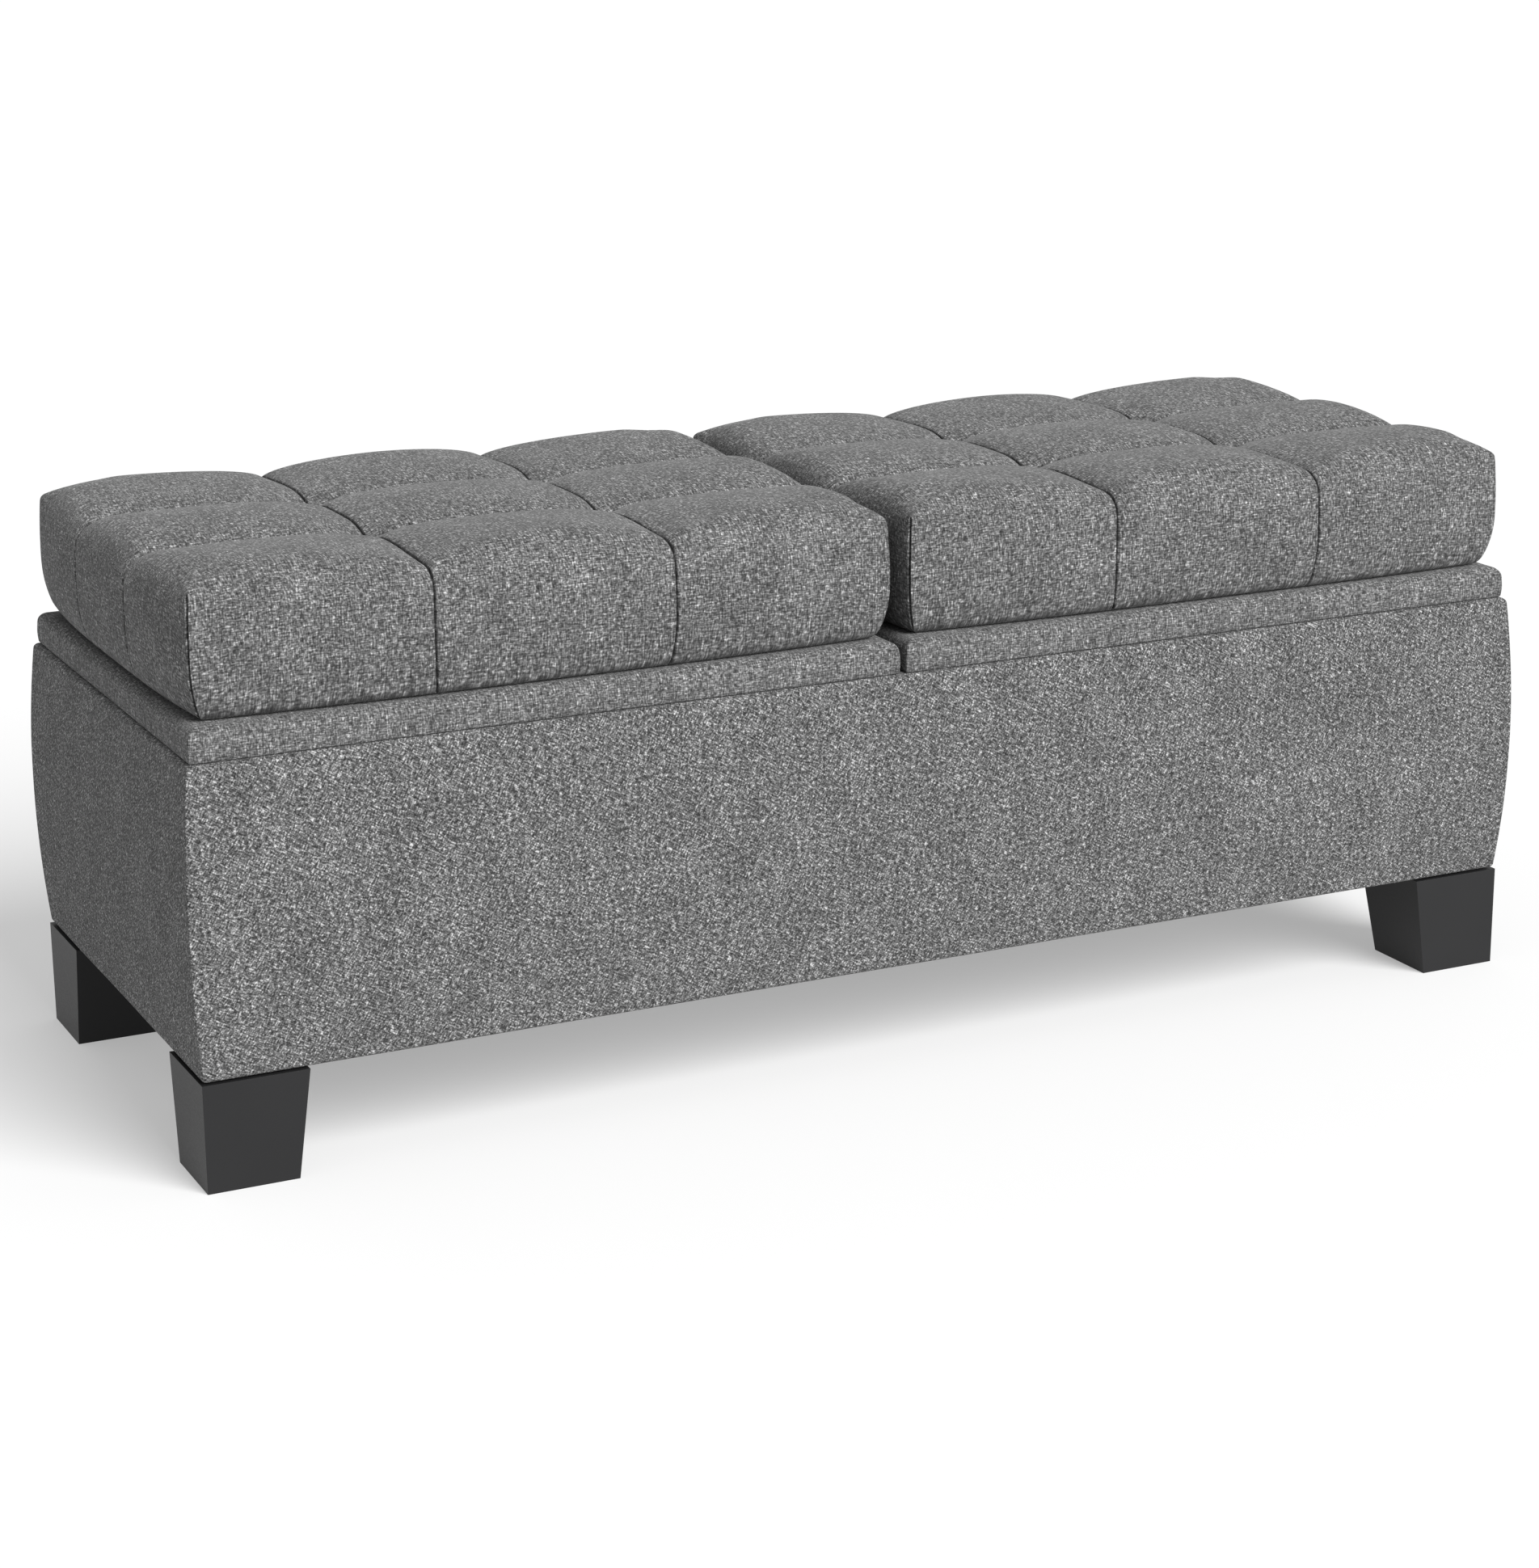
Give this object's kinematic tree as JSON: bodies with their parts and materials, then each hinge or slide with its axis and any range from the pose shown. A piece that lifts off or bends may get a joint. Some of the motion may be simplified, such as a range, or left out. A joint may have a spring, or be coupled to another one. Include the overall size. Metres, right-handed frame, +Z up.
{
  "type": "storage bench",
  "caption": "Upholstered storage bench: a padded box on square tapered feet, with side-by-side hinged lids that carry tufted cushions over separate compartments.",
  "frame": {"origin": "centre of the bench on the surface that the feet stand on", "axes": "+X along the length to the right end, -Y towards the front, +Z up; the lids hinge at the rear (+Y)"},
  "size_m": [1.2, 0.45, 0.482],
  "materials": {
    "particle_board": "matte",
    "softwood": "matte",
    "plywood": "matte",
    "grey_chenille": "matte",
    "grey_linen": "matte",
    "cushion_linen": "matte",
    "foam": "matte",
    "black_lining": "matte",
    "dust_cloth": "matte",
    "black_foot": "satin",
    "twine": "matte",
    "black_tube": "satin",
    "bright_rod": "polished",
    "black_bracket": "satin",
    "nickel_hinge": "satin",
    "steel_pin": "satin",
    "zinc_fastener": "satin"
  },
  "bodies": {
    "box": {"front_board": "particle_board", "rear_board": "particle_board", "left_end_board": "particle_board", "right_end_board": "particle_board", "base_board": "particle_board", "centre_divider": "particle_board", "corner_blocks": "softwood", "panel_screws": "zinc_fastener", "front_upholstery": "grey_chenille", "rear_upholstery": "grey_chenille", "left_end_upholstery": "grey_chenille", "right_end_upholstery": "grey_chenille", "left_compartment_lining": "black_lining", "right_compartment_lining": "black_lining", "dust_cover": "dust_cloth", "front_left_foot": "black_foot", "front_right_foot": "black_foot", "rear_left_foot": "black_foot", "rear_right_foot": "black_foot", "foot_bolts": "zinc_fastener", "foot_t_nuts": "zinc_fastener", "left_outer_hinge_box_leaf": "nickel_hinge", "left_inner_hinge_box_leaf": "nickel_hinge", "right_inner_hinge_box_leaf": "nickel_hinge", "right_outer_hinge_box_leaf": "nickel_hinge", "left_hinge_pins": "steel_pin", "right_hinge_pins": "steel_pin", "box_hardware_screws": "zinc_fastener", "left_strut_box_bracket": "black_bracket", "right_strut_box_bracket": "black_bracket"},
    "left_lid": {"left_lid_board": "particle_board", "left_lid_band": "grey_linen", "left_lid_liner": "black_lining", "left_cushion_base": "plywood", "left_cushion_foam": "foam", "left_cushion_cover": "cushion_linen", "left_tuft_ties": "twine", "left_outer_hinge_lid_leaf": "nickel_hinge", "left_inner_hinge_lid_leaf": "nickel_hinge", "left_lid_screws": "zinc_fastener", "left_cushion_screws": "zinc_fastener", "left_strut_lid_bracket": "black_bracket"},
    "right_lid": {"right_lid_board": "particle_board", "right_lid_band": "grey_linen", "right_lid_liner": "black_lining", "right_cushion_base": "plywood", "right_cushion_foam": "foam", "right_cushion_cover": "cushion_linen", "right_tuft_ties": "twine", "right_outer_hinge_lid_leaf": "nickel_hinge", "right_inner_hinge_lid_leaf": "nickel_hinge", "right_lid_screws": "zinc_fastener", "right_cushion_screws": "zinc_fastener", "right_strut_lid_bracket": "black_bracket"},
    "left_strut_tube": {"left_strut_tube": "black_tube"},
    "left_strut_rod": {"left_strut_rod": "bright_rod"},
    "right_strut_tube": {"right_strut_tube": "black_tube"},
    "right_strut_rod": {"right_strut_rod": "bright_rod"}
  },
  "joints": [
    {"name": "left_lid_hinge", "type": "hinge", "parent": "box", "child": "left_lid", "pos_m": [-0.2965, 0.216, 0.3342], "axis": [-1, 0, 0], "range_deg": [0, 85]},
    {"name": "left_strut_low", "type": "hinge", "parent": "box", "child": "left_strut_tube", "pos_m": [-0.55, 0.17, 0.16018], "axis": [-1, 0, 0], "range_deg": [0, 42.5]},
    {"name": "left_strut_high", "type": "hinge", "parent": "left_lid", "child": "left_strut_rod", "pos_m": [-0.55, 0.03655, 0.3202], "axis": [-1, 0, 0], "range_deg": [-42.5, 0]},
    {"name": "right_lid_hinge", "type": "hinge", "parent": "box", "child": "right_lid", "pos_m": [0.2965, 0.216, 0.3342], "axis": [-1, 0, 0], "range_deg": [0, 85]},
    {"name": "right_strut_low", "type": "hinge", "parent": "box", "child": "right_strut_tube", "pos_m": [0.55, 0.17, 0.16018], "axis": [-1, 0, 0], "range_deg": [0, 42.5]},
    {"name": "right_strut_high", "type": "hinge", "parent": "right_lid", "child": "right_strut_rod", "pos_m": [0.55, 0.03655, 0.3202], "axis": [-1, 0, 0], "range_deg": [-42.5, 0]}
  ],
  "couplings": [
    {"joint": "left_strut_low", "follows": "left_lid_hinge", "ratio": 0.5},
    {"joint": "left_strut_high", "follows": "left_lid_hinge", "ratio": -0.5},
    {"joint": "right_strut_low", "follows": "right_lid_hinge", "ratio": 0.5},
    {"joint": "right_strut_high", "follows": "right_lid_hinge", "ratio": -0.5}
  ]
}
